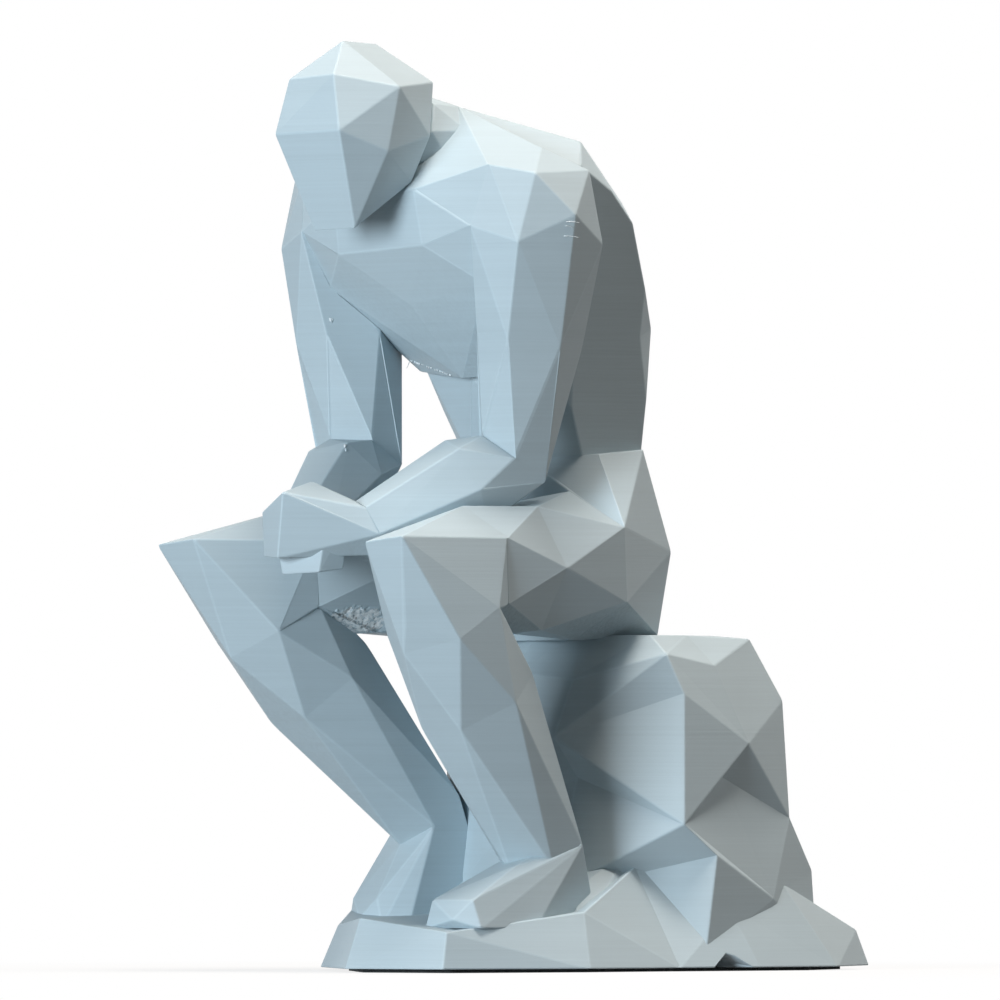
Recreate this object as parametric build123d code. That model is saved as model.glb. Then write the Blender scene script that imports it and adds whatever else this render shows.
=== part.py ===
from build123d import *
import os
from itertools import combinations
from math import atan2, cos, radians, sin

# A faceted ornament: a seated figure lost in thought, forearms on the thighs and hands
# clasped between the knees, on a rock with a strip of ground under its feet.
# It is printed in sections. They meet on flat glued faces, with short dowels across them.
# Millimetres, +Z up. The figure looks along -Y, and its left hand is towards +X.
# A value named back is how far a middle lies behind the line under the waist.

# Felt sheet under the ground
felt_thickness = 0.6
felt_margin = 5.0

# Ground, measured at its foot, and how far its skirt runs out below its top edge. The rake is
# how much further a higher corner lies in
ground_width = 74.0
ground_depth = 104.0
ground_height = 9.0
ground_flare = 5.0
ground_rake = 1.6
ground_back = 3.0

# Chipped notch in the ground's lower edge, on the figure's left side
notch_width = 9.0
notch_height = 2.6
notch_depth = 6.0
notch_back = 13.0

# Rock, and the seat on top of it. Heights are above the felt
rock_width = 58.0
rock_depth = 54.0
rock_back = 14.5
seat_height = 53.4
seat_rim = 6.0
rock_brow_height = 40.0
rock_belly_height = 27.0
rock_skirt_height = 14.5
rock_roughness = 10.0

# Banks behind the heels
bank_width = 17.0
bank_reach = 13.0

# Hollow in the rock, open below and covered there by the felt
rock_wall = 3.0
seat_wall = 7.0
ceiling_slope = 6.0

# Pelvis and thighs
hip_spread = 27.0
hip_above_seat = 11.5
hip_back = 6.0
pelvis_width = 40.0
buttock_reach = 15.0
buttock_height = 2.0
thigh_length = 48.5
thigh_splay = 12.0
thigh_drop = 2.0
hip_cut = 9.0
thigh_top_width = 25.0
thigh_top_height = 24.0
thigh_mid_width = 22.0
thigh_mid_height = 23.0
knee_cut = 11.0
knee_width = 20.0
knee_height = 21.0
kneecap_reach = 10.0

# Lower legs and feet. A tuck is how far the ankle lies behind the knee
left_tuck = 27.0
right_tuck = 35.0
left_ankle_height = 9.0
right_ankle_height = 15.5
left_ankle_inset = 2.0
right_ankle_inset = 7.0
calf_width = 18.5
calf_depth = 20.5
ankle_width = 14.0
ankle_depth = 14.5
left_foot_length = 32.0
right_foot_length = 19.5
foot_width = 14.0
toe_thickness = 4.5
heel_reach = 0.8
toe_reach = 1.6
foot_sink = 2.5

# Spine, from the hips up: each length runs on from the last, leaning forward by its angle
waist_rise = 18.0
waist_lean = -2.0
ribs_rise = 17.0
ribs_lean = 12.0
chest_rise = 17.0
chest_lean = 22.0
shoulder_rise = 12.5
shoulder_lean = 33.0
neck_rise = 11.5
neck_lean = 60.0
skull_rise = 6.0
skull_lean = 64.0

# Torso sections at those heights
waist_width = 36.0
waist_depth = 25.0
ribs_width = 43.0
ribs_depth = 32.0
chest_width = 54.0
chest_depth = 35.0
yoke_width = 52.0
yoke_depth = 27.0
breast_height = 9.5
breastbone_reach = 3.5
neck_width = 17.0
neck_depth = 17.0

# Head
head_width = 24.0
head_depth = 27.0
head_height = 28.0
head_bow = 20.0
head_turn = 8.0
head_ahead = 9.0
head_above = 1.0

# Arms. The elbows rest on the thighs, and the hands meet ahead of and below them
shoulder_span = 51.0
shoulder_ahead = 7.0
shoulder_drop = 7.0
shoulder_cut = 4.5
deltoid_width = 13.0
deltoid_depth = 24.0
deltoid_height = 24.0
upper_arm_width = 15.5
upper_arm_depth = 18.5
elbow_width = 13.5
elbow_depth = 15.0
elbow_from_hip = 25.0
elbow_sink = 1.5
forearm_width = 14.5
forearm_depth = 15.5
wrist_width = 10.5
wrist_depth = 10.0
clasp_ahead = 26.0
clasp_drop = 11.0
wrist_apart = 16.0
hand_width = 14.5
hand_depth = 15.0
hand_height = 15.5
hand_lap = 2.6

# Dowels across the glued faces
dowel_diameter = 3.0
dowel_length = 10.0
thin_dowel_diameter = 2.0
thin_dowel_length = 7.0
dowel_clearance = 0.1
dowel_end_gap = 0.4
base_dowel_back = 9.0

UP = Vector(0, 0, 1)
LEFT = Vector(1, 0, 0)
FORWARD = Vector(0, -1, 0)
BACK = Vector(0, 1, 0)

underside = felt_thickness
ground_top = underside + ground_height
seat = underside + seat_height
rock_skirt_top = underside + rock_skirt_height
rock_belly_top = underside + rock_belly_height
rock_brow_top = underside + rock_brow_height


# Points, sections and facets


def lean_step(length, lean):
    """A step up the spine, tipped forward by an angle in degrees."""
    return UP * (length * cos(radians(lean))) + FORWARD * (length * sin(radians(lean)))


def between(start, end, share):
    """The point at a share of the way from one point to another."""
    return start + (end - start) * share


def centre_of(points):
    """The mean of some points."""
    return sum(points, Vector(0, 0, 0)) * (1 / len(points))


def section(centre, along, width, depth, corners=6, spin=0.0, reach=()):
    """Corners of a flat section square to a direction; reach moves single corners in or out."""
    across = (LEFT - along * LEFT.dot(along)).normalized()
    over = along.cross(across).normalized()
    ring = []
    for number in range(corners):
        angle = radians(360 * number / corners + spin)
        out = reach[number] if reach else 1.0
        ring.append(centre + across * (width / 2 * out * cos(angle)) + over * (depth / 2 * out * sin(angle)))
    return ring


def solid_of(faces):
    """A closed solid from flat faces, each given by its corners."""
    return Solid(Shell([Face(Wire.make_polygon(face, close=True)) for face in faces]))


def facet_loft(rings, peak=None):
    """A closed solid through rings of as many corners, with triangles between the rings.
    The first ring is a flat end. So is the last, unless facets run from it up to a peak."""
    faces = [rings[0]]
    for low, high in zip(rings, rings[1:]):
        middle = between(centre_of(low), centre_of(high), 0.5)
        for number, corner in enumerate(low):
            following = (number + 1) % len(low)
            beside, opposite, above = low[following], high[following], high[number]
            rising, falling = between(corner, opposite, 0.5), between(beside, above, 0.5)
            if (rising - middle).length >= (falling - middle).length:
                faces += [[corner, beside, opposite], [corner, opposite, above]]
            else:
                faces += [[corner, beside, above], [beside, opposite, above]]
    last = rings[-1]
    if peak is None:
        faces.append(last)
    else:
        faces += [[corner, last[(number + 1) % len(last)], peak] for number, corner in enumerate(last)]
    return solid_of(faces)


def hull(points, flatness=1e-5):
    """The tightest convex solid round some points."""
    outlines = {}
    for first, second, third in combinations(points, 3):
        normal = (second - first).cross(third - first)
        if normal.length < flatness:
            continue
        normal = normal.normalized()
        offsets = [normal.dot(point - first) for point in points]
        if max(offsets) > flatness and min(offsets) < -flatness:
            continue
        on_face = [number for number, offset in enumerate(offsets) if abs(offset) <= flatness]
        if tuple(on_face) in outlines:
            continue
        corners = [points[number] for number in on_face]
        middle = centre_of(corners)
        east = (corners[0] - middle).normalized()
        north = normal.cross(east)
        corners.sort(key=lambda point: atan2((point - middle).dot(north), (point - middle).dot(east)))
        outlines[tuple(on_face)] = corners
    return solid_of(outlines.values())


def fused(*pieces):
    """The pieces as one solid."""
    whole = pieces[0]
    for piece in pieces[1:]:
        whole = whole + piece
    return whole


def cut_by(piece, *cutters):
    """A piece without what others take up."""
    for cutter in cutters:
        piece = piece - cutter
    return piece


def behind(piece, point, normal):
    """The part of a piece behind a plane, away from its normal."""
    return split(piece, Plane(origin=point, z_dir=normal), keep=Keep.BOTTOM)


# Ground and rock

# Corners of the ground seen from above, across and back as shares of its half sizes, and how
# far each one's top edge stands above the ground's height, as a share of it
ground_corners = [
    (-0.92, -0.31, 0.10), (-0.33, -0.68, -0.24), (0.36, -1.00, -0.10), (0.84, -0.90, -0.34),
    (1.00, -0.40, 0.00), (0.98, -0.02, 0.80), (1.00, 0.30, 0.05), (0.97, 0.64, 0.50), (0.66, 0.97, -0.35),
    (0.14, 0.95, 0.45), (-0.40, 1.00, 0.10), (-0.90, 0.72, 0.40), (-1.00, 0.22, 0.00),
]

# Corners of the rock at five levels: an angle in degrees from the figure's left towards its back,
# a reach as a share of the rock's half sizes, and how far the corner stands above its level, as a
# share of the rock's roughness. The corners of one number lie over each other in rough columns
rock_foot = [
    (-78, 0.96, 0.0), (-52, 1.04, 0.0), (-10, 1.22, 0.0), (16, 1.14, 0.0), (44, 1.32, 0.0), (66, 1.26, 0.0),
    (96, 1.16, 0.0), (134, 1.22, 0.0), (174, 1.12, 0.0), (-148, 0.96, 0.0), (-112, 0.76, 0.0),
]
rock_skirt = [
    (-80, 0.88, 0.20), (-56, 0.97, -0.25), (-4, 1.16, 0.35), (22, 1.17, -0.35), (48, 1.29, 0.10),
    (68, 1.12, 0.40), (99, 1.12, -0.30), (131, 1.10, 0.15), (171, 1.05, -0.25), (-151, 0.90, 0.20),
    (-115, 0.76, -0.10),
]
rock_belly = [
    (-75, 0.86, -0.25), (-48, 0.88, 0.35), (-16, 1.19, -0.40), (8, 0.98, 0.35), (39, 1.17, -0.30),
    (61, 1.12, -0.20), (92, 1.02, 0.40), (136, 1.06, -0.15), (177, 1.01, 0.10), (-146, 0.86, -0.20),
    (-109, 0.68, 0.30),
]
rock_brow = [
    (-79, 0.80, 0.25), (-56, 0.93, -0.30), (-12, 1.05, 0.40), (17, 1.06, -0.40), (46, 1.12, 0.30),
    (68, 0.94, -0.20), (98, 1.00, 0.05), (131, 1.00, -0.35), (170, 0.95, 0.30), (-151, 0.86, -0.05),
    (-114, 0.80, 0.15),
]
rock_rim = [
    (-77, 0.78, -0.60), (-50, 0.82, -0.72), (-17, 1.00, -0.30), (10, 0.90, -0.48), (42, 0.93, -0.05),
    (64, 0.98, -0.34), (96, 0.88, -0.40), (134, 0.97, -0.10), (174, 0.88, -0.42), (-148, 0.90, -0.50),
    (-112, 0.74, -0.60),
]

ground_centre = BACK * ground_back
rock_centre = BACK * rock_back
pelvis_centre = UP * (seat + hip_above_seat) + BACK * hip_back


def ground_ring(inward, height, uneven=0.0):
    """The ground's corners, drawn in by a distance, at a height; uneven, each has its lift and rake."""
    ring = []
    for across, back, lift in ground_corners:
        foot = ground_centre + LEFT * (across * ground_width / 2) + BACK * (back * ground_depth / 2)
        foot += (ground_centre - foot).normalized() * (inward * (1 + lift * ground_rake * uneven))
        ring.append(foot + UP * (height + ground_height * lift * uneven))
    return ring


def rock_ring(corners, height, inward=0.0, uneven=1.0):
    """The rock's corners at one level, drawn in by a distance."""
    ring = []
    for angle, reach, lift in corners:
        across, back = cos(radians(angle)) * reach, sin(radians(angle)) * reach
        corner = rock_centre + LEFT * (across * rock_width / 2) + BACK * (back * rock_depth / 2)
        corner += (rock_centre - corner).normalized() * inward
        ring.append(corner + UP * (height + lift * rock_roughness * uneven))
    return ring


def make_notch():
    """The chip out of the ground's lower edge, wide at the edge and running out inwards."""
    edge = LEFT * (ground_width / 2) + BACK * notch_back + UP * underside
    deep = LEFT * notch_depth
    mouth = [edge + deep * 0.1 + BACK * (share * notch_width) + UP * (rise * notch_height)
             for share, rise in ((-0.5, -1), (-0.5, 0), (-0.08, 1), (0.14, 0.75), (0.5, 0), (0.5, -1))]
    return hull(mouth + [edge - deep - UP * notch_height, edge - deep + UP * (notch_height / 2)])


def make_rock():
    """The rock and the ground with the banks, without the hollow and the notch."""
    ground = facet_loft(
        [ground_ring(0, underside), ground_ring(ground_flare, ground_top, uneven=1)],
        peak=ground_centre + UP * ground_top,
    )
    rock = facet_loft([
        rock_ring(rock_foot, underside + ground_height / 4),
        rock_ring(rock_skirt, rock_skirt_top),
        rock_ring(rock_belly, rock_belly_top),
        rock_ring(rock_brow, rock_brow_top),
        rock_ring(rock_rim, seat),
        rock_ring(rock_rim, seat, seat_rim, uneven=0),
    ])
    banks = [make_bank(1, left_tuck, left_ankle_height), make_bank(-1, right_tuck, right_ankle_height)]
    return fused(ground, rock, *banks)


def make_bank(side, tuck, ankle_height):
    """A bank that rises from the ground behind a heel, towards the rock."""
    ankle = ankle_of(side, tuck, ankle_height)
    level = Vector(ankle.X, ankle.Y, ground_top)
    ahead = toe_way(side)
    broad = Vector(-ahead.Y, ahead.X, 0) * (bank_width / 2)
    low = UP * (-ground_height / 2)
    points = []
    for turn in (1, -1):
        points += [
            level - ahead * (bank_reach * 1.7) + broad * (turn * 1.7) + low,
            level + ahead * (bank_reach * 0.30) + broad * (turn * 1.15) + low,
            level - ahead * (bank_reach * 0.35) + broad * (turn * 0.40) + UP * (ankle_height * 0.40)]
    points.append(level - ahead * (bank_reach * 1.5) + broad * 0.35 + UP * (ankle_height * 1.15))
    points.append(level - ahead * (bank_reach * 1.0) - broad * 0.30 + UP * (ankle_height * 0.70))
    return hull(points)


def make_hollow():
    """The hollow in the rock, a wall's thickness inside it."""
    return facet_loft([
        rock_ring(rock_skirt, underside, rock_wall, uneven=0),
        rock_ring(rock_skirt, rock_skirt_top, rock_wall),
        rock_ring(rock_belly, rock_belly_top, rock_wall),
        rock_ring(rock_brow, rock_brow_top, rock_wall),
        rock_ring(rock_rim, seat - seat_wall, rock_wall + ceiling_slope, uneven=0),
    ])


def make_felt():
    """The felt sheet that the ornament stands on."""
    return facet_loft([ground_ring(felt_margin, 0), ground_ring(felt_margin, felt_thickness)])


# Stations of the spine, from the hips to the skull
waist = pelvis_centre + lean_step(waist_rise, waist_lean)
ribs = waist + lean_step(ribs_rise, ribs_lean)
chest = ribs + lean_step(chest_rise, chest_lean)
yoke = chest + lean_step(shoulder_rise, shoulder_lean)
neck = yoke + lean_step(neck_rise, neck_lean)
skull = neck + lean_step(skull_rise, skull_lean)
waist_up = lean_step(1, (waist_lean + ribs_lean) / 2)
neck_up = lean_step(1, skull_lean)


# Legs. A side is 1 for the figure's left and -1 for its right


def thigh_heading(side):
    """The way a thigh points, from hip to knee."""
    splay = radians(thigh_splay)
    level = LEFT * (side * sin(splay)) + FORWARD * cos(splay)
    return (level * thigh_length + UP * -thigh_drop).normalized()


def on_thigh(side, distance):
    """A point on a thigh's axis, at a distance from the hip."""
    return pelvis_centre + LEFT * (side * hip_spread / 2) + thigh_heading(side) * distance


def hip_ring(side):
    """The glued face between pelvis and thigh."""
    return section(on_thigh(side, hip_cut), thigh_heading(side), thigh_top_width, thigh_top_height, spin=30)


def knee_ring(side):
    """The glued face between thigh and lower leg."""
    centre = on_thigh(side, thigh_length - knee_cut)
    return section(centre, thigh_heading(side), knee_width, knee_height, spin=30)


def ankle_of(side, tuck, height):
    """An ankle's place, tucked back from the knee, above the ground."""
    knee = on_thigh(side, thigh_length)
    inset = left_ankle_inset if side == 1 else right_ankle_inset
    return Vector(knee.X - side * inset, knee.Y + tuck, ground_top + height)


def make_pelvis(*cutters):
    """Hips and buttocks, seated on the rock."""
    points = section(waist, waist_up, waist_width, waist_depth, corners=8, spin=22.5)
    for side in (1, -1):
        out = LEFT * side
        points += hip_ring(side)
        points.append(pelvis_centre + out * (pelvis_width / 2) + UP * (hip_above_seat * 0.2))
        points.append(pelvis_centre + out * (pelvis_width * 0.40) + BACK * buttock_reach * 0.8
                      + UP * buttock_height)
        points.append(pelvis_centre + out * (pelvis_width * 0.22) + BACK * buttock_reach)
        points.append(pelvis_centre + out * (pelvis_width * 0.36) + BACK * buttock_reach * 0.7
                      - UP * hip_above_seat)
    return cut_by(hull(points), *cutters)


def make_thigh(side, rock):
    """A thigh, from its glued face on the pelvis to its glued face at the knee."""
    middle = section(on_thigh(side, elbow_from_hip), thigh_heading(side), thigh_mid_width, thigh_mid_height)
    return cut_by(facet_loft([hip_ring(side), middle, knee_ring(side)]), rock)


def toe_way(side):
    """The way a foot points, level."""
    heading = thigh_heading(side)
    return Vector(heading.X, heading.Y, 0).normalized()


def make_foot(side, ankle, ankle_ring, length):
    """A foot from its ankle to its toes, with the heel off the ground where the ankle is high."""
    ahead = toe_way(side)
    broad = Vector(-ahead.Y, ahead.X, 0) * (foot_width / 2)
    sole = UP * (ground_top - foot_sink)
    heel_height = UP * max(0.0, (ankle.Z - ground_top) * 0.9 - ankle_depth * 0.5)
    heel = Vector(ankle.X, ankle.Y, 0) - ahead * (ankle_depth * 0.6) + sole + heel_height
    ball = Vector(ankle.X, ankle.Y, 0) + ahead * (length * 0.36) + sole
    toes = Vector(ankle.X, ankle.Y, 0) + ahead * (length - ankle_depth * 0.6) + sole
    return hull(ankle_ring + [
        heel + broad * 0.6, heel - broad * 0.5, heel + UP * (foot_sink * 2) - ahead * heel_reach,
        ball + broad * 1.05, ball - broad,
        ball + broad * 0.45 + UP * (toe_thickness * 2.2),
        toes + broad * 0.75, toes - broad * 0.85,
        toes + broad * 0.5 + UP * toe_thickness, toes - broad * 0.65 + UP * toe_thickness,
        toes + ahead * toe_reach + broad * 0.1 + UP * (toe_thickness * 0.3)])


def make_lower_leg(side, tuck, ankle_height, foot_length, thigh, rock):
    """Knee, shin and foot in one print. The knee is cut to the thigh and the sole to the ground."""
    heading = thigh_heading(side)
    knee = on_thigh(side, thigh_length)
    ankle = ankle_of(side, tuck, ankle_height)
    shin_way = (ankle - knee).normalized()
    shin_top = section(between(knee, ankle, 0.17), shin_way, knee_width, calf_depth * 0.96, spin=30)
    calf = section(between(knee, ankle, 0.45), shin_way, calf_width, calf_depth)
    ankle_ring = section(ankle, shin_way, ankle_width, ankle_depth, spin=30)
    cap = knee + heading * kneecap_reach
    knee_block = hull(knee_ring(side) + shin_top + [
        cap + LEFT * (knee_width * 0.2) + UP * (knee_height * 0.3),
        cap - LEFT * (knee_width * 0.25) + UP * (knee_height * 0.26),
        cap + shin_way * (knee_height * 0.42)])
    shin = facet_loft([shin_top, calf, ankle_ring])
    foot = make_foot(side, ankle, ankle_ring, foot_length)
    return cut_by(fused(knee_block, shin, foot), thigh, rock)


# Torso and head


def make_torso():
    """Waist, chest, shoulders and neck in one print, cut flat where the arms meet it."""
    cage_up = lean_step(1, (ribs_lean + chest_lean) / 2)
    chest_up = lean_step(1, (chest_lean + shoulder_lean) / 2)
    rings = [
        section(waist, waist_up, waist_width, waist_depth, corners=8, spin=22.5),
        section(ribs, cage_up, ribs_width, ribs_depth, corners=8,
                reach=[1.0, 1.02, 0.90, 1.04, 1.0, 0.98, 0.92, 0.98]),
        section(chest, chest_up, chest_width, chest_depth, corners=8, spin=22.5,
                reach=[1.0, 1.06, 1.02, 1.0, 0.98, 1.04, 1.06, 0.98]),
        section(yoke, lean_step(1, (shoulder_lean + neck_lean) / 2), yoke_width, yoke_depth, corners=8,
                reach=[1.0, 1.0, 1.02, 0.98, 1.0, 0.88, 0.86, 0.88]),
        section(neck, lean_step(1, (neck_lean + skull_lean) / 2), neck_width, neck_depth, corners=8,
                spin=22.5),
        section(skull, neck_up, neck_width * 0.84, neck_depth * 0.84, corners=8),
    ]
    torso = facet_loft(rings)
    for side in (1, -1):
        torso = behind(torso, *shoulder_plane(side))
    belly = section(ribs, cage_up, ribs_width, ribs_depth, corners=8, reach=[1.03] * 8)[5:]
    breast = centre_of(shoulder_face(1) + shoulder_face(-1)) + FORWARD * (deltoid_depth * 0.55)
    girdle = hull(shoulder_face(1) + shoulder_face(-1) + belly + [
        breast + LEFT * (chest_width * 0.20) - UP * (breast_height * 0.42),
        breast - LEFT * (chest_width * 0.18) - UP * (breast_height * 0.53),
        breast + LEFT * (chest_width * 0.16) + UP * (breast_height * 0.53),
        breast - LEFT * (chest_width * 0.20) + UP * (breast_height * 0.42), between(chest, yoke, 0.4),
        between(breast, centre_of(belly), 0.45) + (FORWARD - UP).normalized() * breastbone_reach])
    nape = rings[4]
    slope = hull(nape[:5] + nape[7:] + [
        corner for side in (1, -1) for corner in shoulder_face(side)[5:] + shoulder_face(side)[:1]])
    return fused(torso, girdle, slope)


# Corners of the head as shares of its half sizes: to its left, to its back and up
head_corners = [
    (0.05, 0.05, 1.00), (-0.08, 0.72, 0.76), (0.40, -0.60, 0.78), (-0.44, -0.56, 0.76),
    (0.58, -0.94, 0.20), (-0.56, -0.94, 0.22), (0.93, -0.05, 0.42), (-0.94, -0.08, 0.40),
    (0.84, -0.46, -0.22), (-0.84, -0.46, -0.22), (0.36, -0.92, -0.98), (-0.34, -0.93, -0.97),
    (0.60, 0.02, -0.74), (-0.60, 0.02, -0.74), (0.66, 0.80, 0.22), (-0.68, 0.78, 0.26),
    (0.80, 0.36, -0.30), (-0.80, 0.36, -0.30), (0.02, 0.90, -0.34),
]


def make_head(torso):
    """The head, bowed and a little turned, seated over the end of the neck."""
    centre = skull + FORWARD * head_ahead + UP * head_above
    corners = []
    for across, back, high in head_corners:
        corner = Vector(across * head_width / 2, back * head_depth / 2, high * head_height / 2)
        corners.append(centre + corner.rotate(Axis.Z, head_turn).rotate(Axis.X, head_bow))
    return cut_by(hull(corners), torso)


# Arms


def shoulder_of(side):
    """A shoulder joint's centre."""
    return yoke + LEFT * (side * shoulder_span / 2) + FORWARD * shoulder_ahead - UP * shoulder_drop


def elbow_of(side):
    """An elbow's centre, resting on the thigh."""
    height = thigh_mid_height / 2 + elbow_depth / 2 - elbow_sink
    return on_thigh(side, elbow_from_hip) + UP * height


clasp = between(elbow_of(1), elbow_of(-1), 0.5) + FORWARD * clasp_ahead - UP * clasp_drop


def wrist_of(side):
    """A wrist's centre, beside the clasped hands."""
    return clasp + LEFT * (side * wrist_apart / 2) + BACK * hand_depth * 0.35


def upper_arm_way(side):
    """The way an upper arm points, from shoulder to elbow."""
    return (elbow_of(side) - shoulder_of(side)).normalized()


def forearm_way(side):
    """The way a forearm points, from elbow to wrist."""
    return (wrist_of(side) - elbow_of(side)).normalized()


def shoulder_plane(side):
    """A point on the flat face where an arm meets the torso, and the way that face looks."""
    way = upper_arm_way(side)
    outward = LEFT * side
    outward = (outward - way * outward.dot(way)).normalized()
    return shoulder_of(side) - outward * shoulder_cut, outward


# Corners of the shoulder's flat face as shares of its sizes, ahead and down the arm, and the
# corners of the cap outside it, ahead, down and out
shoulder_outline = [(0.42, -0.36), (0.50, 0.06), (0.30, 0.44), (-0.16, 0.50), (-0.48, 0.14), (-0.44, -0.30),
                    (-0.02, -0.50)]
shoulder_cap = [(0.26, -0.36, 0.20), (-0.24, -0.40, 0.14), (0.02, -0.12, 0.56), (0.38, 0.10, 0.32),
                (-0.36, 0.08, 0.34)]


def shoulder_face(side):
    """The corners of the flat face between torso and upper arm."""
    middle, outward = shoulder_plane(side)
    down = upper_arm_way(side)
    ahead = down.cross(outward) * side
    return [middle + ahead * (front * deltoid_depth) + down * (low * deltoid_height)
            for front, low in shoulder_outline]


def elbow_ring(side):
    """The glued face between upper arm and forearm."""
    fold = (upper_arm_way(side) + forearm_way(side)).normalized()
    return section(elbow_of(side), fold, elbow_width, elbow_depth, spin=30)


def wrist_ring(side):
    """The glued face between forearm and hand."""
    return section(wrist_of(side), forearm_way(side), wrist_width, wrist_depth)


def make_upper_arm(side, torso, *cutters):
    """An upper arm, from the shoulder's flat face to the elbow."""
    way = upper_arm_way(side)
    outward = shoulder_plane(side)[1]
    ahead = way.cross(outward) * side
    shoulder, elbow = shoulder_of(side), elbow_of(side)
    cap = [shoulder + ahead * (front * deltoid_depth) + way * (low * deltoid_height)
           + outward * (out * deltoid_width) for front, low, out in shoulder_cap]
    middle = section(between(shoulder, elbow, 0.48), way, upper_arm_width, upper_arm_depth)
    deltoid = hull(shoulder_face(side) + cap + middle)
    return cut_by(fused(deltoid, facet_loft([middle, elbow_ring(side)])), torso, *cutters)


def make_forearm(side, *cutters):
    """A forearm, lying on the thigh from the elbow to the wrist."""
    middle = between(elbow_of(side), wrist_of(side), 0.32)
    bulge = section(middle, forearm_way(side), forearm_width, forearm_depth)
    return cut_by(facet_loft([elbow_ring(side), bulge, wrist_ring(side)]), *cutters)


# Corners of a hand as shares of its sizes: towards its own side, ahead and up from the clasp
knuckles = [(0.20, 0.50, 0.28), (0.06, 0.46, -0.40), (0.04, -0.04, 0.40), (0.26, 0.04, -0.34)]
fingertips = [(-0.44, 0.26, 0.08), (-0.36, 0.30, -0.38), (-0.52, 0.00, 0.16), (-0.42, 0.00, -0.34)]


def make_hands(*cutters):
    """Both hands in one print, the left folded over the right."""
    hands = []
    for side, lap in ((1, hand_lap), (-1, -hand_lap)):
        middle = clasp + (UP + FORWARD) * (lap / 2)
        folded, tips = [
            [middle + LEFT * (side * own * hand_width) + FORWARD * (ahead * hand_depth)
             + UP * (high * hand_height) for own, ahead, high in corners]
            for corners in (knuckles, fingertips)]
        hands += [hull(wrist_ring(side) + folded), hull(folded + tips)]
    return cut_by(fused(*hands), *cutters)


# Dowels and their sockets


def rod(centre, way, diameter, length):
    """A round rod about a centre, along a direction."""
    return Plane(origin=centre, z_dir=way) * Cylinder(diameter / 2, length)


def dowel_places():
    """Centre and direction of each dowel across a glued face."""
    places = [(skull, neck_up)]
    for side in (1, -1):
        heading = thigh_heading(side)
        places += [
            (waist + LEFT * (side * waist_width / 4), waist_up),
            (shoulder_plane(side)),
            (elbow_of(side), (upper_arm_way(side) + forearm_way(side)).normalized()),
            (on_thigh(side, hip_cut), heading),
            (on_thigh(side, thigh_length - knee_cut), heading),
            (BACK * base_dowel_back + LEFT * (side * hip_spread * 0.3) + UP * seat, UP),
        ]
    return places


def thin_dowel_places():
    """Centre and direction of each thin dowel, at the wrists and under the feet."""
    places = []
    for side, tuck, height in ((1, left_tuck, left_ankle_height), (-1, right_tuck, right_ankle_height)):
        ankle = ankle_of(side, tuck, height)
        ball = Vector(ankle.X, ankle.Y, ground_top) + toe_way(side) * (ankle_depth * 0.5)
        places += [(wrist_of(side), forearm_way(side)), (ball, UP)]
    return places


def build():
    """Every piece of the ornament, by name. Each is cut flush to those that it rests on."""
    rock = make_rock()
    torso = make_torso()
    left_thigh, right_thigh = make_thigh(1, rock), make_thigh(-1, rock)
    left_leg = make_lower_leg(1, left_tuck, left_ankle_height, left_foot_length, left_thigh, rock)
    right_leg = make_lower_leg(-1, right_tuck, right_ankle_height, right_foot_length, right_thigh, rock)
    pelvis = make_pelvis(rock, left_thigh, right_thigh)
    pieces = {
        "rock_base": cut_by(rock, make_hollow(), make_notch()),
        "pelvis": pelvis,
        "left_thigh": left_thigh,
        "right_thigh": right_thigh,
        "left_lower_leg": left_leg,
        "right_lower_leg": right_leg,
        "torso": torso,
        "head": make_head(torso),
        "left_upper_arm": make_upper_arm(1, torso, left_thigh, pelvis),
        "right_upper_arm": make_upper_arm(-1, torso, right_thigh, pelvis),
        "left_forearm": make_forearm(1, left_thigh, left_leg, pelvis),
        "right_forearm": make_forearm(-1, right_thigh, right_leg, pelvis),
        "clasped_hands": make_hands(left_thigh, right_thigh, left_leg, right_leg),
    }
    dowels = [rod(*place, dowel_diameter, dowel_length) for place in dowel_places()]
    thin_dowels = [rod(*place, thin_dowel_diameter, thin_dowel_length) for place in thin_dowel_places()]
    sockets = [rod(*place, dowel_diameter + 2 * dowel_clearance, dowel_length + 2 * dowel_end_gap)
               for place in dowel_places()]
    sockets += [rod(*place, thin_dowel_diameter + 2 * dowel_clearance, thin_dowel_length + 2 * dowel_end_gap)
                for place in thin_dowel_places()]
    for name, piece in pieces.items():
        pieces[name] = cut_by(piece, *sockets)
    pieces["dowels"] = Compound(dowels)
    pieces["thin_dowels"] = Compound(thin_dowels)
    pieces["felt_sheet"] = make_felt()
    return pieces


os.makedirs("parts", exist_ok=True)
pieces = build()
box = Compound(list(pieces.values())).bounding_box()
to_origin = Vector(-(box.min.X + box.max.X) / 2, -(box.min.Y + box.max.Y) / 2, -box.min.Z)
for name, piece in pieces.items():
    export_step(Pos(*to_origin) * piece, f"parts/{name}.step")
    print(name, len(piece.solids()), round(piece.volume))
print("moved by", to_origin, "size", box.size)
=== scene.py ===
# %% [markdown]
# # A faceted seated figure, printed in grey-blue plastic
# The real object is a small desk ornament. It came off a filament printer in matt plastic, in
# sections that are glued on flat faces, and it stands on a sheet of felt. Every shape and size
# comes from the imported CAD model. This lesson adds what a print shows and a CAD model lacks:
# softened edges, layer lines, rough marks where supports were torn off, small nubs and a few
# stray whiskers. All lengths are in metres.

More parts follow.
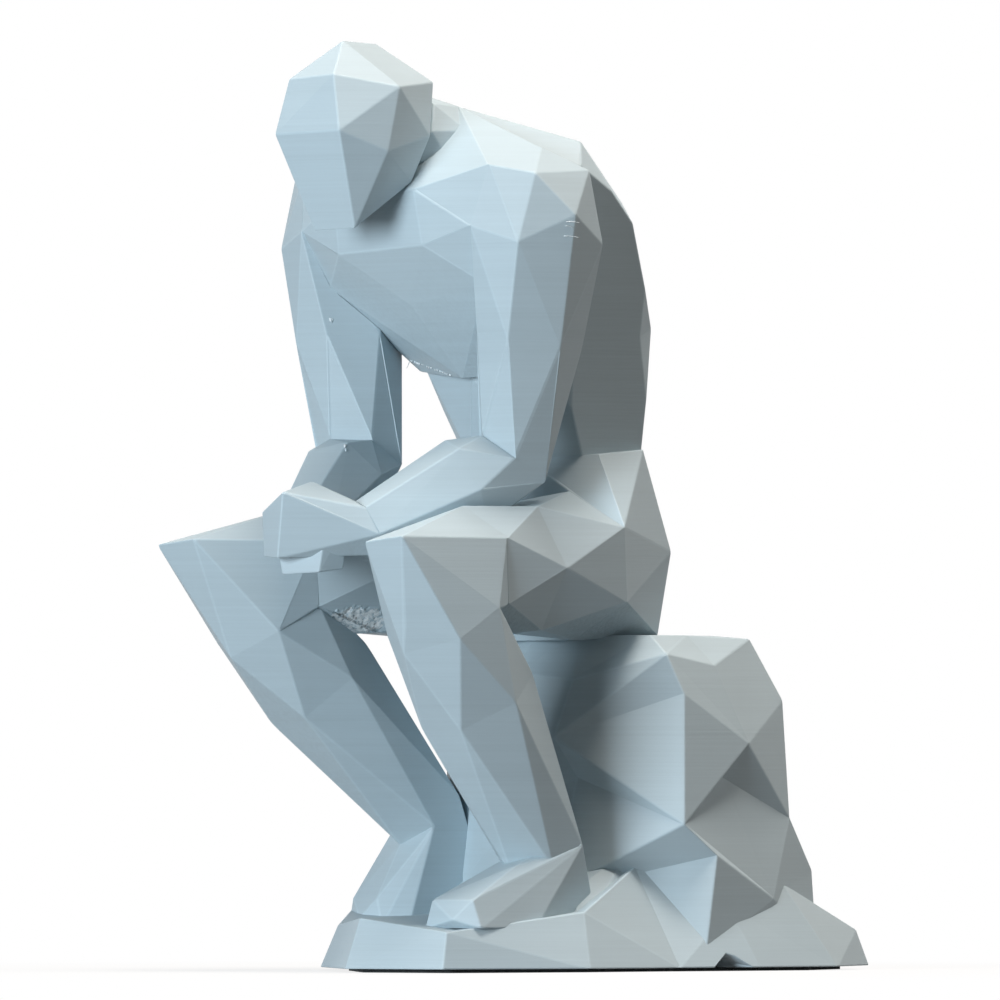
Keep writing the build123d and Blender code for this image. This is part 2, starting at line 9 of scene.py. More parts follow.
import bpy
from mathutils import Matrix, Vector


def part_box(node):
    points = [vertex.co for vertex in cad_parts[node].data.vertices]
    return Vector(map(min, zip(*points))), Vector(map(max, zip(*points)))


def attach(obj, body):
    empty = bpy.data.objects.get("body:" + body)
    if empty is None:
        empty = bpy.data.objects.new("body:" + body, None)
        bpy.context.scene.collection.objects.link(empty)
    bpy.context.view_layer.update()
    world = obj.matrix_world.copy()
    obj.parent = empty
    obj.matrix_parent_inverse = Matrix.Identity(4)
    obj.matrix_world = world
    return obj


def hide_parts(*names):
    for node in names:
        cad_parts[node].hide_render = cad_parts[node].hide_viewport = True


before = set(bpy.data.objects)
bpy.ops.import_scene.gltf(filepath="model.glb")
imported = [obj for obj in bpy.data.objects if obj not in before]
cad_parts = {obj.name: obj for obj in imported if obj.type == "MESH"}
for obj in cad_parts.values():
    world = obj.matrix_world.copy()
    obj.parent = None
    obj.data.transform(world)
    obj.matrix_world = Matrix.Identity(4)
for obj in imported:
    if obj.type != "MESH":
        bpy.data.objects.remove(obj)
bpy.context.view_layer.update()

# %% [markdown]
# ## The camera comes first
# A long lens from 3 m away keeps upright edges upright, as the photograph does. The camera
# stands low and looks at the figure's front left corner, so the base ends in a nearly straight
# line. With the camera in place early, every later step can be judged in the same view.

# %% Camera
import random
from math import cos, pi, radians, sin

import bmesh
import bpy
from mathutils import Vector
from mathutils.bvhtree import BVHTree

VIEW_AZIMUTH = radians(49)
PICTURE_WIDTH = 0.1615
CAMERA_DISTANCE, CAMERA_HEIGHT = 3.0, 0.031
SENSOR = 36
CLIP_START, CLIP_END = 0.1, 50
AIM_POINT = Vector((0, -0.0009, 0.0759))
AIM_SHIFT = -0.00355
to_camera = Vector((sin(VIEW_AZIMUTH), -cos(VIEW_AZIMUTH), 0))
to_right = Vector((cos(VIEW_AZIMUTH), sin(VIEW_AZIMUTH), 0))
aim = to_right * AIM_SHIFT + AIM_POINT

bpy.ops.object.select_all(action="DESELECT")
place = aim + to_camera * CAMERA_DISTANCE
bpy.ops.object.camera_add(location=(place.x, place.y, CAMERA_HEIGHT))
camera = bpy.context.object
camera.rotation_euler = (aim - camera.location).to_track_quat("-Z", "Y").to_euler()
camera.data.lens = CAMERA_DISTANCE / PICTURE_WIDTH * SENSOR
camera.data.sensor_width = SENSOR
camera.data.clip_start = CLIP_START
camera.data.clip_end = CLIP_END
bpy.context.scene.camera = camera
bpy.context.scene.view_settings.view_transform = "Standard"
print("Camera", round((camera.location - aim).length, 3), "m from the figure")

# %% [markdown]
# ## A small kit for node trees
# Every finish here is a tree of shader nodes. A few helpers keep the trees short enough to read.
# The first adds a node and links or sets its inputs, and the others are built on it.

# %% Node helpers


def add_node(tree, kind, inputs=None, **settings):
    """Adds a node, with its settings, and links or sets its inputs by name or number."""
    made = tree.nodes.new(kind)
    for name, value in settings.items():
        setattr(made, name, value)
    for key, value in (inputs or {}).items():
        if isinstance(value, bpy.types.NodeSocket):
            tree.links.new(value, made.inputs[key])
        else:
            made.inputs[key].default_value = value
    return made


def reckon(tree, operation, first, second=0.0, third=0.0, clamp=False):
    """One step of arithmetic on sockets or numbers."""
    made = add_node(tree, "ShaderNodeMath", {0: first, 1: second, 2: third}, operation=operation)
    made.use_clamp = clamp
    return made.outputs[0]


def blank_material(name):
    """An empty material with its output, and sockets for the place and the normal on the piece."""
    material = bpy.data.materials.new(name)
    material.use_nodes = True
    tree = material.node_tree
    tree.nodes.clear()
    place = add_node(tree, "ShaderNodeTexCoord")
    output = add_node(tree, "ShaderNodeOutputMaterial")
    return material, tree, place.outputs["Object"], place.outputs["Normal"], output


def noise(tree, vector, scale, detail=2.0, roughness=0.5):
    """A noise pattern's value at a place."""
    made = add_node(tree, "ShaderNodeTexNoise", {
        "Vector": vector, "Scale": scale, "Detail": detail, "Roughness": roughness})
    return made.outputs["Fac"]


def spread(tree, value, low, high, to_low=0.0, to_high=1.0):
    """A value from one range carried over to another, and kept in it."""
    made = add_node(tree, "ShaderNodeMapRange", {
        "Value": value, "From Min": low, "From Max": high, "To Min": to_low, "To Max": to_high})
    return made.outputs["Result"]


def stretched(tree, vector, scale):
    """A place with each axis multiplied by its own number."""
    return add_node(tree, "ShaderNodeMapping", {"Vector": vector, "Scale": scale}).outputs[0]


def ribs(tree, along, width):
    """Rises from 0 to 1 and falls back once in every width along a value."""
    turns = reckon(tree, "MULTIPLY", along, pi / width)
    return reckon(tree, "ABSOLUTE", reckon(tree, "SINE", turns))


def scaled(tree, colour, shade):
    """A colour multiplied by a shade."""
    made = add_node(tree, "ShaderNodeVectorMath", {0: colour, "Scale": shade}, operation="SCALE")
    return made.outputs[0]


def raised(tree, relief, strength=1.0):
    """The surface's normal, tilted by a relief in metres."""
    made = add_node(tree, "ShaderNodeBump", {"Height": relief, "Distance": 1.0, "Strength": strength})
    return made.outputs[0]


print("Node helpers are ready")

# %% [markdown]
# ## Floor, background and lamps
# The photograph is cut out on white. A wide floor that the camera sees as glowing pale paper, and
# a world that it sees as pure white, give that look without any more light on the object, and
# the floor keeps a faint shadow. For the light on its way the paper is grey, so that undersides
# stay dark. The light is a studio's: a softbox overhead, a cool one on the camera's left, and a
# weak warm one on its right.

# %% Floor


def watched(tree):
    """1 for rays from the camera, a reflection or clear glass, and 0 for light on its way."""
    rays = add_node(tree, "ShaderNodeLightPath").outputs
    seen = reckon(tree, "ADD", rays["Is Camera Ray"], rays["Is Glossy Ray"], clamp=True)
    return reckon(tree, "ADD", seen, rays["Is Transmission Ray"], clamp=True)


FLOOR_SIZE = 6.0
GREY_PAPER = (0.12, 0.122, 0.125, 1)
PALE_PAPER = (0.80, 0.80, 0.80, 1)
WHITE = (1, 1, 1, 1)
GLOW_NEAR, GLOW_FAR = 0.06, 0.16
LEAST_GLOW = 0.82
bpy.ops.object.select_all(action="DESELECT")
bpy.ops.mesh.primitive_plane_add(size=FLOOR_SIZE, location=(0, 0, 0))
floor = bpy.context.object
floor.name = "studio_floor"
floor_paint, tree, place, _, output = blank_material("studio_paper")
grey = add_node(tree, "ShaderNodeBsdfDiffuse", {"Color": GREY_PAPER})
paper = add_node(tree, "ShaderNodeBsdfDiffuse", {"Color": PALE_PAPER})
glow = add_node(tree, "ShaderNodeEmission", {"Color": WHITE, "Strength": 1.0})
away = add_node(tree, "ShaderNodeVectorMath", {0: place}, operation="LENGTH").outputs["Value"]
share = spread(tree, away, GLOW_NEAR, GLOW_FAR, LEAST_GLOW, 1.0)
pale = add_node(tree, "ShaderNodeMixShader", {0: share, 1: paper.outputs[0], 2: glow.outputs[0]})
mixed = add_node(tree, "ShaderNodeMixShader", {0: watched(tree), 1: grey.outputs[0], 2: pale.outputs[0]})
tree.links.new(mixed.outputs[0], output.inputs["Surface"])
floor.data.materials.append(floor_paint)
print("Floor", FLOOR_SIZE, "m across")

# %% World
AMBIENT = 0.008
AIR = (0.94, 0.97, 1.0, 1)
world = bpy.data.worlds.new("studio_air")
bpy.context.scene.world = world
world.use_nodes = True
tree = world.node_tree
tree.nodes.clear()
air = add_node(tree, "ShaderNodeBackground", {"Color": AIR, "Strength": AMBIENT})
white = add_node(tree, "ShaderNodeBackground", {"Color": WHITE, "Strength": 1.0})
mixed = add_node(tree, "ShaderNodeMixShader", {0: watched(tree), 1: air.outputs[0], 2: white.outputs[0]})
output = add_node(tree, "ShaderNodeOutputWorld", {"Surface": mixed.outputs[0]})
print("World light", AMBIENT)

# %% Lamps
LAMP_DISTANCE = 0.75
MIDDLE = Vector((0, 0, 0.075))


def softbox(name, right, near, up, size, level, colour):
    """A square lamp that looks at the figure. Its direction is given as the camera sees it, and
    its level is how bright a facing surface renders as a share of its written colour."""
    way = (to_right * right + to_camera * near + Vector((0, 0, up))).normalized()
    bpy.ops.object.select_all(action="DESELECT")
    bpy.ops.object.light_add(type="AREA", location=MIDDLE + way * LAMP_DISTANCE)
    lamp = bpy.context.object
    lamp.name = name
    lamp.rotation_euler = (-way).to_track_quat("-Z", "Y").to_euler()
    lamp.data.shape, lamp.data.size = "SQUARE", size
    lamp.data.energy = level * (pi * LAMP_DISTANCE) ** 2
    lamp.data.color = colour
    return lamp


lamps = [
    softbox("overhead_softbox", right=0.10, near=0.10, up=1.0, size=0.30, level=1.22,
            colour=(1.0, 0.915, 0.84)),
    softbox("left_softbox", right=-0.60, near=0.78, up=0.10, size=0.32, level=1.03,
            colour=(0.82, 0.92, 1.0)),
    softbox("right_softbox", right=1.0, near=0.20, up=0.60, size=0.40, level=0.18,
            colour=(1.0, 0.94, 0.87)),
]
print("Lamps", [lamp.name for lamp in lamps])

# %% [markdown]
# ## Printed plastic
# Matt filament plastic is one colour all through. What makes it read as a print is its surface:
# a fine ridge for every layer, and layers that differ a little in shade and gloss. All of it
# follows the height of a point, so it is drawn from object coordinates and runs level through
# all the glued sections. Facets that look down are rougher, because their layers sag a little
# into the air. A second version, a touch lighter, paints a highlight on the narrow edges. A third,
# chalky and pitted, with painted shade in its pits, is for scars that broken supports leave.

# %% Printed plastic
LAYER = 0.0002
PASS_WIDTH = 0.0006
PLASTIC = (0.440, 0.530, 0.572)
CHALK = (0.84, 0.87, 0.87)
# Painted highlight: the plastic on the bevelled edges is made this much lighter
EDGE_HIGHLIGHT_LIFT = 1.06
TORN_LIFT = 0.98
DROOP_STARTS, DROOP_FULL = -0.60, -0.85
LEVEL_STARTS, LEVEL_FULL = 0.9990, 0.9997
LAYER_WANDER = 0.00012

# How far each part of the relief stands out
RIDGE_RELIEF = 0.0000045
STREAK_RELIEF = 0.000012
GRAIN_RELIEF = 0.000006
DROOP_RELIEF = 0.00005
SPECK_RELIEF = 0.00006
PASS_RELIEF = 0.00001


def printed_plastic(name, tone_and_highlight=1.0, torn=0.0):
    """Layered matt plastic. The lift multiplies its colour and, above 1, paints a highlight; torn, from 0
    to 1, makes it chalky and pitted, with painted shade in the pits.
    """
    material, tree, place, normal, output = blank_material(name)
    axes = add_node(tree, "ShaderNodeSeparateXYZ", {0: place}).outputs
    facing = add_node(tree, "ShaderNodeSeparateXYZ", {0: normal}).outputs["Z"]

    # One ridge to a layer, wandering a little
    wander = reckon(tree, "MULTIPLY", noise(tree, place, 55), LAYER_WANDER)
    ridge = ribs(tree, reckon(tree, "ADD", axes["Z"], wander), LAYER)

    # Each layer has its own shade and gloss, and there is a slow drift over the print
    streak = noise(tree, stretched(tree, place, (45, 45, 1 / LAYER)), 0.6, detail=1.0)
    broad = noise(tree, stretched(tree, place, (18, 18, 420)), 1.0, detail=3.0)
    grain = noise(tree, place, 5200, detail=2.0)
    mottle = noise(tree, place, 38, detail=4.0)

    # White specks where the plastic was stretched and broken, and painted shade in its small pits
    specks = noise(tree, place, 1500, detail=3.0, roughness=0.65)
    chalk = reckon(tree, "MULTIPLY", spread(tree, specks, 0.38, 0.52), torn)
    pit_shade = spread(tree, noise(tree, place, 1100), 0.34, 0.42, 1 - 0.55 * torn, 1.0)

    # Overhangs droop: short strands sag across the layers
    overhang = spread(tree, facing, DROOP_STARTS, DROOP_FULL)
    strands = noise(tree, stretched(tree, place, (1500, 1500, 380)), 1.0, detail=3.0, roughness=0.6)
    droop = reckon(tree, "MULTIPLY", overhang, spread(tree, strands, 0.3, 0.7))

    # Level tops show the last layer's diagonal passes
    level_top = spread(tree, facing, LEVEL_STARTS, LEVEL_FULL)
    fill = ribs(tree, reckon(tree, "ADD", axes["X"], axes["Y"]), PASS_WIDTH)

    # Colour: the shades multiply, the painted edge highlight and the painted shade in pits with them, and
    # chalk takes over on a scar
    shade = spread(tree, streak, 0.25, 0.75, 0.975, 1.025)
    shade = reckon(tree, "MULTIPLY", shade, spread(tree, broad, 0.3, 0.7, 0.982, 1.018))
    shade = reckon(tree, "MULTIPLY", shade, spread(tree, mottle, 0.3, 0.7, 0.975, 1.02))
    shade = reckon(tree, "MULTIPLY", shade, spread(tree, droop, 0.0, 1.0, 1.0, 1.14))
    shade = reckon(tree, "MULTIPLY", reckon(tree, "MULTIPLY", shade, tone_and_highlight), pit_shade)
    tone = add_node(tree, "ShaderNodeMix", {
        0: chalk, 6: (*PLASTIC, 1), 7: (*CHALK, 1)}, data_type="RGBA")

    # Relief: the heights add up
    top_passes = reckon(tree, "MULTIPLY", fill, level_top)
    relief = reckon(tree, "MULTIPLY", ridge, RIDGE_RELIEF)
    for pattern, reach in ((streak, STREAK_RELIEF), (grain, GRAIN_RELIEF), (droop, DROOP_RELIEF),
                           (specks, SPECK_RELIEF * torn), (top_passes, PASS_RELIEF)):
        relief = reckon(tree, "MULTIPLY_ADD", pattern, reach, relief)
    roughness = reckon(tree, "MULTIPLY_ADD", chalk, 0.3, spread(tree, streak, 0.25, 0.75, 0.50, 0.60))
    shader = add_node(tree, "ShaderNodeBsdfPrincipled", {
        "Base Color": scaled(tree, tone.outputs[2], shade), "Roughness": roughness,
        "Normal": raised(tree, relief), "Specular IOR Level": 0.42})
    tree.links.new(shader.outputs[0], output.inputs["Surface"])
    return material


plastic = printed_plastic("printed_plastic")
plastic_edge_highlight = printed_plastic("printed_plastic_edge_highlight", tone_and_highlight=EDGE_HIGHLIGHT_LIFT)
plastic_torn = printed_plastic("printed_plastic_torn", tone_and_highlight=TORN_LIFT, torn=1.0)
print("Layers", LAYER * 1000, "mm high")

# %% [markdown]
# ## Felt and dowel wood
# The felt is pressed fibre: grey, without gloss, with short strands lying every way. Its dark grey
# also paints the thin shadow line under the base. Noise at two scales gives its nap. The dowels are
# beech: straight pores along the rod, a slow change of tone, and no varnish.

# %% Felt and beech
# The felt's dark grey is also painted shadow: the thin dark line under the base's edge
FELT_AND_SHADOW_GREY = (0.115, 0.130, 0.135)
BEECH = (0.52, 0.33, 0.17)
NAP_RELIEF = 0.00025
PORE_RELIEF = 0.00004


def felt_cloth_and_shadow():
    """Grey pressed felt, dark enough to paint the shadow line under the base."""
    material, tree, place, _, output = blank_material("felt_cloth_and_shadow")
    strands = noise(tree, stretched(tree, place, (1, 1, 2.5)), 2600, detail=4.0, roughness=0.7)
    tufts = noise(tree, place, 420, detail=3.0)
    shade = spread(tree, strands, 0.3, 0.7, 0.6, 1.3)
    shade = reckon(tree, "ADD", shade, spread(tree, tufts, 0.3, 0.7, -0.2, 0.2))
    nap = raised(tree, reckon(tree, "MULTIPLY", strands, NAP_RELIEF), strength=0.8)
    shader = add_node(tree, "ShaderNodeBsdfPrincipled", {
        "Base Color": scaled(tree, FELT_AND_SHADOW_GREY, shade), "Roughness": 0.95, "Normal": nap,
        "Specular IOR Level": 0.1, "Sheen Weight": 0.25, "Sheen Roughness": 0.6})
    tree.links.new(shader.outputs[0], output.inputs["Surface"])
    return material


def beech_wood():
    """Bare beech, with pores along its grain."""
    material, tree, place, _, output = blank_material("beech_wood")
    pores = noise(tree, stretched(tree, place, (2600, 2600, 260)), 1.0, detail=3.0)
    tone = noise(tree, place, 260, detail=2.0)
    shade = spread(tree, pores, 0.35, 0.7, 1.08, 0.82)
    shade = reckon(tree, "MULTIPLY", shade, spread(tree, tone, 0.3, 0.7, 0.92, 1.06))
    grooves = raised(tree, reckon(tree, "MULTIPLY", pores, PORE_RELIEF), strength=0.7)
    shader = add_node(tree, "ShaderNodeBsdfPrincipled", {
        "Base Color": scaled(tree, BEECH, shade), "Roughness": 0.68, "Normal": grooves})
    tree.links.new(shader.outputs[0], output.inputs["Surface"])
    return material


beech = beech_wood()
felt_and_shadow = felt_cloth_and_shadow()
for name in ("dowels", "thin_dowels"):
    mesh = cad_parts[name].data
    mesh.materials.clear()
    mesh.materials.append(beech)
print("Felt and beech are ready")

# %% [markdown]
# ## Sections with softened edges
# A nozzle cannot print a knife edge, so every outward edge of the real facets is a little round
# and catches the light as a fine pale line. Each section starts as a copy of its CAD node. The
# loose triangles are merged, facets that lie in one plane are joined again, and the outward
# edges are bevelled. Edges on a glued face stay sharp, so that the joints close without a
# groove.

# %% Which edges are softened
SECTIONS = [
    "rock_base", "pelvis", "left_thigh", "right_thigh", "left_lower_leg", "right_lower_leg",
    "torso", "head", "left_upper_arm", "right_upper_arm", "left_forearm", "right_forearm",
    "clasped_hands",
]
TOUCHING = 0.00004
SHORTEST = 0.0009
FLATTEST = radians(8)


def surface_of(name):
    """A CAD node's surface, for measuring distances to it."""
    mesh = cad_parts[name].data
    mesh.calc_loop_triangles()
    return BVHTree.FromPolygons([v.co for v in mesh.vertices], [t.vertices for t in mesh.loop_triangles])


surfaces = {name: surface_of(name) for name in SECTIONS}


def touches_another(name, point):
    """Whether a point on a section lies on another section's surface too."""
    return any(other != name and tree.find_nearest(point, TOUCHING)[0] for other, tree in surfaces.items())


def choose_outward_edges(piece, name):
    """Selects the piece's outward edges, apart from short ones and those on glued faces."""
    sketch = bmesh.new()
    sketch.from_mesh(piece.data)
    chosen = []
    for edge in sketch.edges:
        ends = [vert.co for vert in edge.verts]
        outward = len(edge.link_faces) == 2 and edge.is_convex and edge.calc_face_angle(0) > FLATTEST
        if outward and edge.calc_length() > SHORTEST:
            points = [ends[0].lerp(ends[1], share) for share in (0.1, 0.5, 0.9)]
            if not any(touches_another(name, point) for point in points):
                chosen.append(edge.index)
    sketch.free()
    for edge in piece.data.edges:
        edge.select = edge.index in chosen
    return len(chosen)


print("Sections", len(SECTIONS))

# %% [markdown]
# ## Making the sections
# A bevel can push a corner out past the CAD surface where edges meet at an odd angle. Such a
# corner is laid back on the surface, and a face that loses all its area by that is merged away.

# %% Make the sections
# Material slot of the lighter plastic that paints a highlight on the bevelled edges
EDGE = 1
TORN = 2
MERGE_DISTANCE = 0.000004
SAME_PLANE = radians(0.3)
EDGE_SOFTNESS = 0.00022
STRAY = 0.00002
LEAST_AREA = 1e-13
SLIVER_WIDTH = 0.000001


def select_only(piece):
    """Makes a piece the only selected one, and the active one."""
    bpy.ops.object.select_all(action="DESELECT")
    piece.select_set(True)
    bpy.context.view_layer.objects.active = piece


def merged_copy(name, new_name, *materials):
    """A copy of a CAD node's mesh as its own piece, merged, with each facet whole."""
    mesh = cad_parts[name].data.copy()
    piece = bpy.data.objects.new(new_name, mesh)
    bpy.context.scene.collection.objects.link(piece)
    mesh.materials.clear()
    for material in materials:
        mesh.materials.append(material)
    select_only(piece)
    bpy.ops.object.mode_set(mode="EDIT")
    bpy.ops.mesh.select_mode(type="VERT")
    bpy.ops.mesh.select_all(action="SELECT")
    bpy.ops.mesh.remove_doubles(threshold=MERGE_DISTANCE)
    bpy.ops.mesh.dissolve_limited(angle_limit=SAME_PLANE)
    bpy.ops.mesh.select_mode(type="EDGE")
    bpy.ops.mesh.select_all(action="DESELECT")
    bpy.ops.object.mode_set(mode="OBJECT")
    return piece


def press_back(piece, name):
    """Lays corners that a bevel pushed out past the surface, at the end of an edge, back on it."""
    for vert in piece.data.vertices:
        spot, normal, _, distance = surfaces[name].find_nearest(vert.co)
        outside = distance > STRAY and (vert.co - spot).dot(normal) > 0
        if outside or distance > EDGE_SOFTNESS:
            vert.co = spot


def drop_slivers(piece):
    """Merges away faces without any area, on a piece where a corner was laid onto its own edge."""
    if all(face.area > LEAST_AREA for face in piece.data.polygons):
        return
    bpy.ops.object.mode_set(mode="EDIT")
    bpy.ops.mesh.select_all(action="SELECT")
    bpy.ops.mesh.dissolve_degenerate(threshold=SLIVER_WIDTH)
    bpy.ops.mesh.select_all(action="DESELECT")
    bpy.ops.object.mode_set(mode="OBJECT")


def soften_edges(piece, name):
    """Bevels the piece's outward edges and puts the lighter plastic on them, as a painted highlight."""
    count = choose_outward_edges(piece, name)
    bpy.ops.object.mode_set(mode="EDIT")
    bpy.ops.mesh.bevel(offset=EDGE_SOFTNESS, segments=2, profile=0.5, affect="EDGES",
                       clamp_overlap=False, loop_slide=False, material=EDGE)
    bpy.ops.mesh.select_all(action="DESELECT")
    bpy.ops.object.mode_set(mode="OBJECT")
    press_back(piece, name)
    drop_slivers(piece)
    bpy.ops.object.shade_flat()
    return count


printed = {}
for name in SECTIONS:
    piece = merged_copy(name, f"printed_{name}", plastic, plastic_edge_highlight, plastic_torn)
    edges = soften_edges(piece, name)
    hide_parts(name)
    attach(piece, "root")
    printed[name] = piece
    print(piece.name, edges, "edges softened,", len(piece.data.polygons), "faces")

# %% [markdown]
# ## Scars of broken supports
# Where the printer lays plastic over empty air, it first builds thin supports, and breaking them
# off leaves a rough, pale scar. The photograph shows one under the lap. The facets there are cut
# into small triangles, their points are moved at random along their normals, and a few of them
# again and further, as lumps and pits. A scar is wider than it is high, because supports stand
# in rows. Points that a larger face shares stay where they are, so that the rest of the section
# stays flat. The chalky plastic goes on the same faces.

# %% Scars
SCAR_CUTS = 30
SCAR_DEPTH = 0.00010
LUMP_HEIGHT = 0.00028
LEAST_FACET = 0.0000003
SCAR_SHAPE = Vector((1, 1, 2.2))
SEARCH_REACH = 2.5
FACET_AGREES = 0.93
POINT_AGREES = 0.7
RAGGED_RIM = 0.75
LUMP_SHARE = 0.12


def choose(mesh, chosen):
    """Selects some faces or points of a mesh, and nothing else."""
    for group in (mesh.vertices, mesh.edges, mesh.polygons):
        group.foreach_set("select", [False] * len(group))
    for item in chosen:
        item.select = True


def shake(piece, points, amount, seed):
    """Moves some of a piece's points, by their numbers, at random along their normals."""
    choose(piece.data, [piece.data.vertices[number] for number in points])
    select_only(piece)
    bpy.ops.object.mode_set(mode="EDIT")
    bpy.ops.mesh.select_mode(type="VERT")
    bpy.ops.transform.vertex_random(offset=amount, uniform=0.0, normal=1.0, seed=seed)
    bpy.ops.object.mode_set(mode="OBJECT")


def scar(piece, centre, reach, facings, seed):
    """Roughens a piece's facets that look one of some ways, within a distance of a place."""
    mesh = piece.data
    centre = Vector(centre)
    ways = [Vector(facing).normalized() for facing in facings]

    def in_scar(face):
        """Whether a facet lies near the place and looks one of the ways."""
        near = (face.center - centre).length < SEARCH_REACH * reach and face.area > LEAST_FACET
        return near and max(face.normal.dot(way) for way in ways) > FACET_AGREES

    facets = [face for face in mesh.polygons if in_scar(face)]
    facet_count = len(facets)
    choose(mesh, facets)
    select_only(piece)
    bpy.ops.object.mode_set(mode="EDIT")
    bpy.ops.mesh.select_mode(type="FACE")
    bpy.ops.mesh.quads_convert_to_tris()
    bpy.ops.mesh.subdivide(number_cuts=SCAR_CUTS)
    bpy.ops.object.mode_set(mode="OBJECT")

    dice = random.Random(seed)
    fixed = {corner for face in mesh.polygons if face.area > LEAST_FACET for corner in face.vertices}
    inside = {vert.index for vert in mesh.vertices if vert.index not in fixed
              and ((vert.co - centre) * SCAR_SHAPE).length < reach * dice.uniform(RAGGED_RIM, 1.0)
              and max(vert.normal.dot(way) for way in ways) > POINT_AGREES}
    for face in mesh.polygons:
        if all(corner in inside for corner in face.vertices):
            face.material_index = TORN
            face.use_smooth = True
    shake(piece, inside, SCAR_DEPTH, seed)
    lumps = {index for index in sorted(inside) if dice.random() < LUMP_SHARE}
    shake(piece, lumps, LUMP_HEIGHT, seed + 1)
    print(piece.name, facet_count, "facets cut up,", len(inside), "points roughened")


scar(printed["right_thigh"], (-0.0130, -0.0250, 0.0562), 0.0062,
     [(0.46, -0.25, -0.85), (0.86, -0.12, -0.49)], seed=3)
scar(printed["left_thigh"], (0.0130, -0.0250, 0.0562), 0.0055,
     [(-0.46, -0.25, -0.85), (-0.86, -0.12, -0.49)], seed=5)

# %% [markdown]
# ## Nubs and whiskers
# Small lumps stay where the nozzle stopped or dragged, here in a crackled row across the lower
# chest and one by one elsewhere. Hair-thin whiskers of plastic are drawn out where the nozzle
# left an edge. A nub starts as a small ball that is squeezed and shaken. A whisker starts as a
# small disc that is extruded in a few steps and gets thinner. All are joined into their section,
# because they are one print with it.

# %% Nubs
NUB_SIZE = 0.00013
LARGE_NUB_SIZE = 0.0002
NUB_ROUGHNESS = 0.2
ROW_WANDER = 0.00012


def make_nub(spot, size, dice):
    """One lump of plastic, squeezed out of round."""
    bpy.ops.object.select_all(action="DESELECT")
    bpy.ops.mesh.primitive_ico_sphere_add(subdivisions=2, radius=size, location=spot)
    lump = bpy.context.object
    bpy.ops.object.mode_set(mode="EDIT")
    squeeze = (dice.uniform(0.7, 1.1), dice.uniform(0.7, 1.1), dice.uniform(0.9, 1.9))
    bpy.ops.transform.resize(value=squeeze)
    bpy.ops.transform.vertex_random(offset=size * NUB_ROUGHNESS, uniform=0.0, normal=1.0,
                                    seed=dice.randrange(999))
    bpy.ops.object.mode_set(mode="OBJECT")
    bpy.ops.object.shade_smooth()
    lump.data.materials.append(plastic_torn)
    return lump


def join_to(piece, extras):
    """Joins small pieces into a section."""
    select_only(piece)
    for extra in extras:
        extra.select_set(True)
    bpy.ops.object.join()


def drop_nubs(name, start, end, count, seed, size=NUB_SIZE):
    """A ragged row of nubs on a section, from one place to another."""
    dice = random.Random(seed)
    lumps = []
    for number in range(count):
        share = (number + dice.uniform(-0.3, 0.3)) / max(1, count - 1)
        spot = Vector(start).lerp(Vector(end), share) + Vector((0, 0, dice.gauss(0, ROW_WANDER)))
        spot = surfaces[name].find_nearest(spot)[0]
        lumps.append(make_nub(spot, size * dice.uniform(0.6, 1.3), dice))
    join_to(printed[name], lumps)
    print(name, len(lumps), "nubs")


drop_nubs("torso", (-0.0148, -0.0117, 0.0986), (0.0052, -0.0128, 0.0955), 40, seed=11)
drop_nubs("right_upper_arm", (-0.0183, -0.0261, 0.1053), (-0.0181, -0.0258, 0.1048), 4, seed=12,
          size=LARGE_NUB_SIZE)
drop_nubs("right_forearm", (-0.0080, -0.0290, 0.0870), (-0.0080, -0.0290, 0.0860), 2, seed=14,
          size=LARGE_NUB_SIZE)

# %% Whiskers
WHISKER_WIDTH = 0.00015
WHISKER_STEPS = 6
WHISKER_SIDES = 6
WHISKER_TAPER = 0.88
WHISKER_DROOP = -0.00002
WHISKER_WANDER = 0.00002


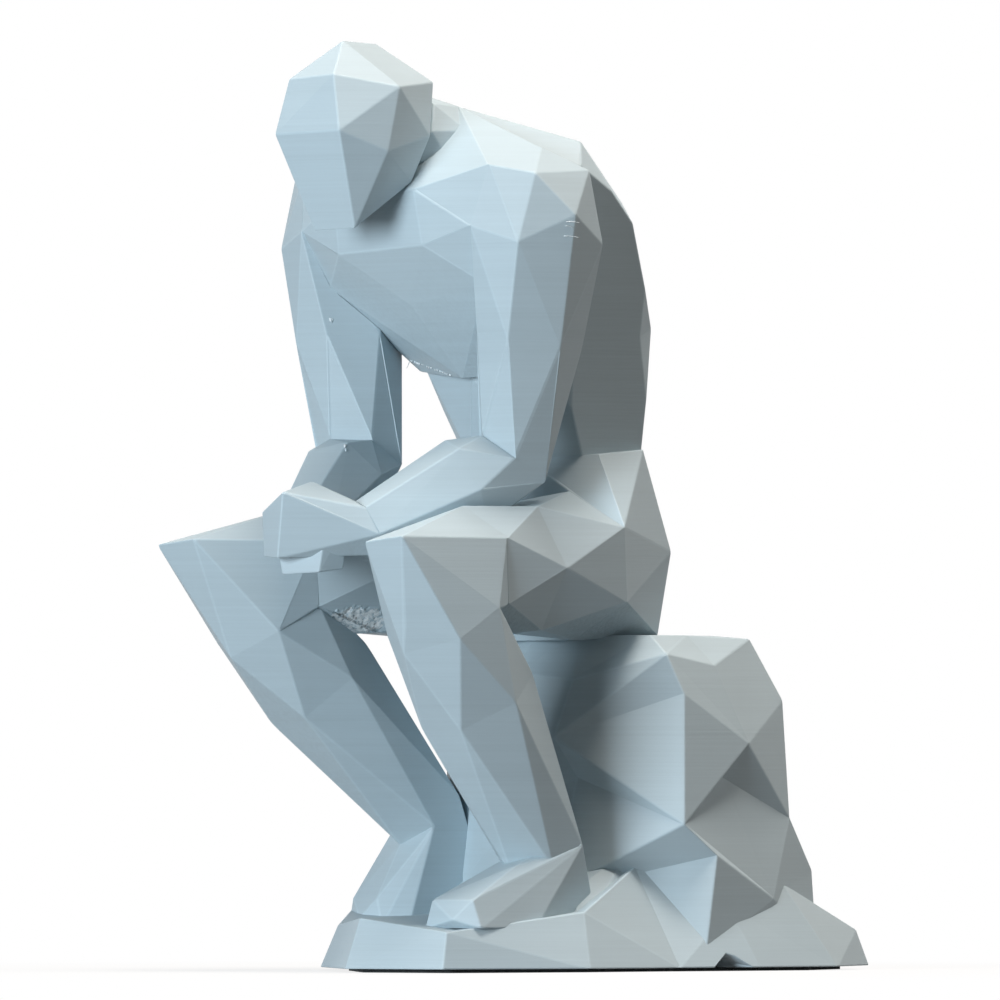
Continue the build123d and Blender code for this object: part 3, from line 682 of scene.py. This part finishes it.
def draw_whisker(start, way, length, seed):
    """A hair of plastic that starts at a place, heads one way and droops a little."""
    dice = random.Random(seed)
    heading = Vector(way).normalized()
    bpy.ops.object.select_all(action="DESELECT")
    bpy.ops.mesh.primitive_circle_add(
        vertices=WHISKER_SIDES, radius=WHISKER_WIDTH / 2, fill_type="NGON", location=start,
        rotation=heading.to_track_quat("Z", "Y").to_euler())
    hair = bpy.context.object
    bpy.ops.object.mode_set(mode="EDIT")
    for step in range(WHISKER_STEPS):
        move = heading * (length / WHISKER_STEPS) + Vector((0, 0, WHISKER_DROOP * step))
        move += Vector([dice.gauss(0, WHISKER_WANDER) for _ in range(3)])
        bpy.ops.mesh.extrude_region_move(TRANSFORM_OT_translate={"value": move})
        bpy.ops.transform.resize(value=(WHISKER_TAPER,) * 3)
    bpy.ops.mesh.select_all(action="SELECT")
    bpy.ops.mesh.normals_make_consistent(inside=False)
    bpy.ops.object.mode_set(mode="OBJECT")
    bpy.ops.object.shade_smooth()
    hair.data.materials.append(plastic_torn)
    return hair


whiskers = {
    "left_upper_arm": [
        ((0.0328, -0.0200, 0.1197), (0.55, 0.85, 0.05), 0.0022, 21),
        ((0.0327, -0.0201, 0.1190), (0.50, 0.85, -0.05), 0.0014, 22),
        ((0.0326, -0.0202, 0.1174), (0.55, 0.85, 0.00), 0.0026, 23)],
    "torso": [((-0.0150, -0.0116, 0.0987), (-0.6, 0.1, -0.5), 0.0016, 24)],
    "left_thigh": [((0.0085, -0.0215, 0.0560), (-0.7, -0.3, -0.4), 0.0018, 25)],
}
for name, hairs in whiskers.items():
    made = []
    for start, way, length, seed in hairs:
        root = surfaces[name].find_nearest(Vector(start))[0]
        made.append(draw_whisker(root, way, length, seed))
    join_to(printed[name], made)
    print(name, len(made), "whiskers")

# %% [markdown]
# ## The felt sheet
# Thin felt is glued under the ground, a little inside its edge; its dark grey paints the shadow line
# under the base. Scissors leave its rim slightly wavy and woolly. The CAD sheet is copied, its outline
# is cut into short steps, and the rim's points are moved at random and put back between the floor
# and the ground.

# %% Felt sheet
felt_low, felt_high = [Vector(corner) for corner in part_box("felt_sheet")]
RIM_CUTS = 26
RIM_WANDER = 0.00012
RIM_SEED = 31
felt_middle = (felt_low.z + felt_high.z) / 2

# The dark felt on this sheet paints the shadow line under the base
base_felt_and_shadow = merged_copy("felt_sheet", "base_felt_and_shadow", felt_and_shadow)
for edge in base_felt_and_shadow.data.edges:
    first, second = [base_felt_and_shadow.data.vertices[index].co for index in edge.vertices]
    edge.select = abs(first.z - second.z) < (felt_high.z - felt_low.z) / 2
bpy.ops.object.mode_set(mode="EDIT")
bpy.ops.mesh.subdivide(number_cuts=RIM_CUTS)
bpy.ops.mesh.select_all(action="SELECT")
bpy.ops.transform.vertex_random(offset=RIM_WANDER, uniform=1.0, normal=0.0, seed=RIM_SEED)
bpy.ops.object.mode_set(mode="OBJECT")
for vert in base_felt_and_shadow.data.vertices:
    vert.co.z = felt_high.z if vert.co.z > felt_middle else felt_low.z
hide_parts("felt_sheet")
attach(base_felt_and_shadow, "root")
print("Felt", len(base_felt_and_shadow.data.polygons), "faces")
